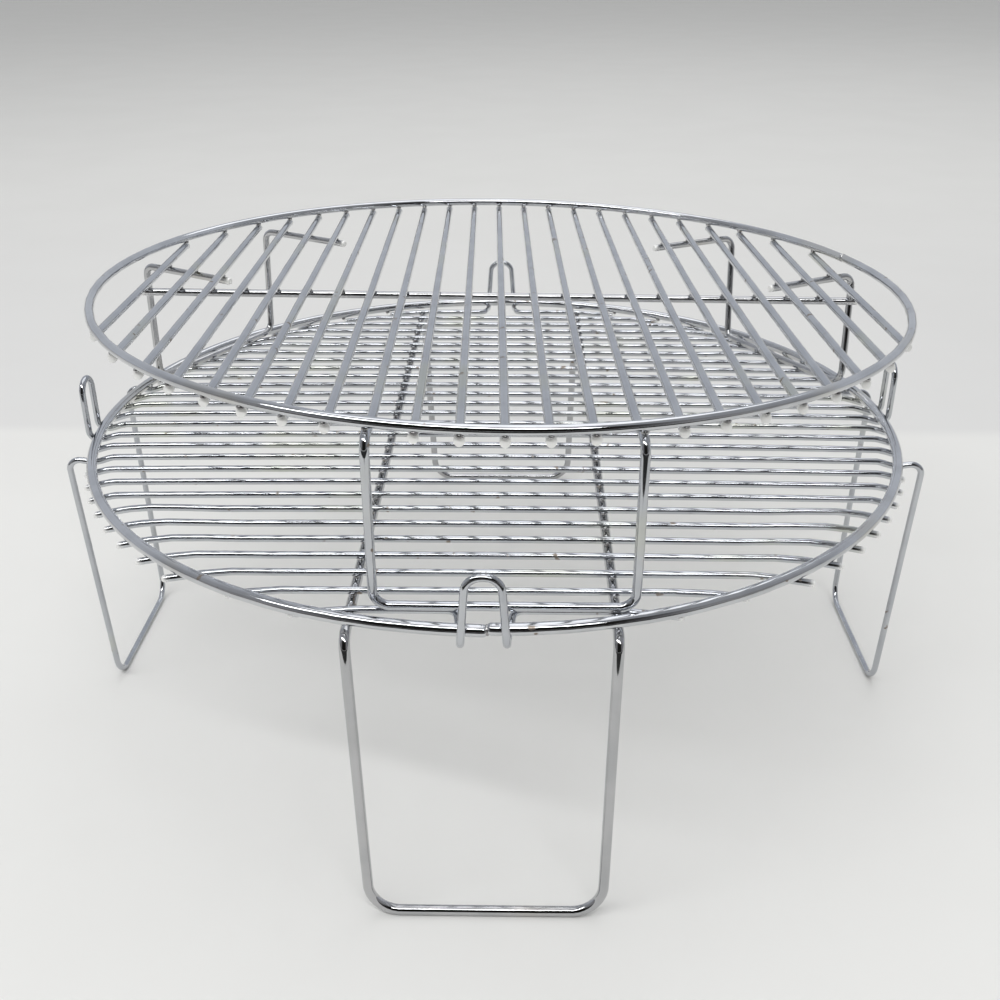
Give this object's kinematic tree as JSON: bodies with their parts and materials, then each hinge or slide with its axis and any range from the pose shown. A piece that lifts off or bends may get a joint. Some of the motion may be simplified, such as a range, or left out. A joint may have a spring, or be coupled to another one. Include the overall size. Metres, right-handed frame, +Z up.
{
  "type": "two-tier wire cooling rack",
  "caption": "Two-tier round wire cooling rack: a loose upper rack on U-shaped wire legs stands on a domed lower rack with four legs and upright locating loops.",
  "frame": {"origin": "on the table under the middle of the lower rack, at the bottom of its feet", "axes": "+Z up, +X to the right along the lower grid wires, -Y to the front"},
  "size_m": [0.3388, 0.3382, 0.1748],
  "materials": {
    "ring_chrome": "bright chrome plate on thick drawn wire, with fine draw marks and butt-welded ends",
    "frame_chrome": "bright chrome plate on bent leg wire, slightly worn at the feet",
    "grid_chrome": "bright chrome plate on thin wire, with small tarnish spots and darker weld marks"
  },
  "bodies": {
    "lower_rack": {"front_loop_wire": "grid_chrome", "left_loop_wire": "grid_chrome", "lower_grid_wire_02": "grid_chrome", "lower_grid_wire_03": "grid_chrome", "lower_grid_wire_04": "grid_chrome", "lower_grid_wire_05": "grid_chrome", "lower_grid_wire_06": "grid_chrome", "lower_grid_wire_07": "grid_chrome", "lower_grid_wire_08": "grid_chrome", "lower_grid_wire_09": "grid_chrome", "lower_grid_wire_10": "grid_chrome", "lower_grid_wire_12": "grid_chrome", "lower_grid_wire_17": "grid_chrome", "lower_grid_wire_19": "grid_chrome", "lower_grid_wire_20": "grid_chrome", "lower_grid_wire_21": "grid_chrome", "lower_grid_wire_22": "grid_chrome", "lower_grid_wire_23": "grid_chrome", "lower_grid_wire_24": "grid_chrome", "lower_grid_wire_25": "grid_chrome", "lower_grid_wire_26": "grid_chrome", "lower_grid_wire_27": "grid_chrome", "lower_ring": "ring_chrome", "main_leg_frame": "frame_chrome", "rear_loop_wire": "grid_chrome", "right_loop_wire": "grid_chrome", "side_leg_frame": "grid_chrome"},
    "upper_rack": {"upper_cross_bar": "frame_chrome", "upper_grid_wire_01": "grid_chrome", "upper_grid_wire_02": "grid_chrome", "upper_grid_wire_03": "grid_chrome", "upper_grid_wire_04": "grid_chrome", "upper_grid_wire_05": "grid_chrome", "upper_grid_wire_06": "grid_chrome", "upper_grid_wire_07": "grid_chrome", "upper_grid_wire_08": "grid_chrome", "upper_grid_wire_10": "grid_chrome", "upper_grid_wire_11": "grid_chrome", "upper_grid_wire_12": "grid_chrome", "upper_grid_wire_13": "grid_chrome", "upper_grid_wire_14": "grid_chrome", "upper_grid_wire_16": "grid_chrome", "upper_grid_wire_17": "grid_chrome", "upper_grid_wire_18": "grid_chrome", "upper_grid_wire_19": "grid_chrome", "upper_grid_wire_20": "grid_chrome", "upper_grid_wire_21": "grid_chrome", "upper_grid_wire_22": "grid_chrome", "upper_grid_wire_23": "grid_chrome", "upper_leg_front": "grid_chrome", "upper_leg_rear_left": "frame_chrome", "upper_leg_rear_right": "frame_chrome", "upper_ring": "ring_chrome"}
  },
  "joints": [
    {"name": "upper_rack_lift", "type": "slide", "parent": "lower_rack", "child": "upper_rack", "axis": [0, 0, 1], "range_m": [0, 0.12]}
  ]
}
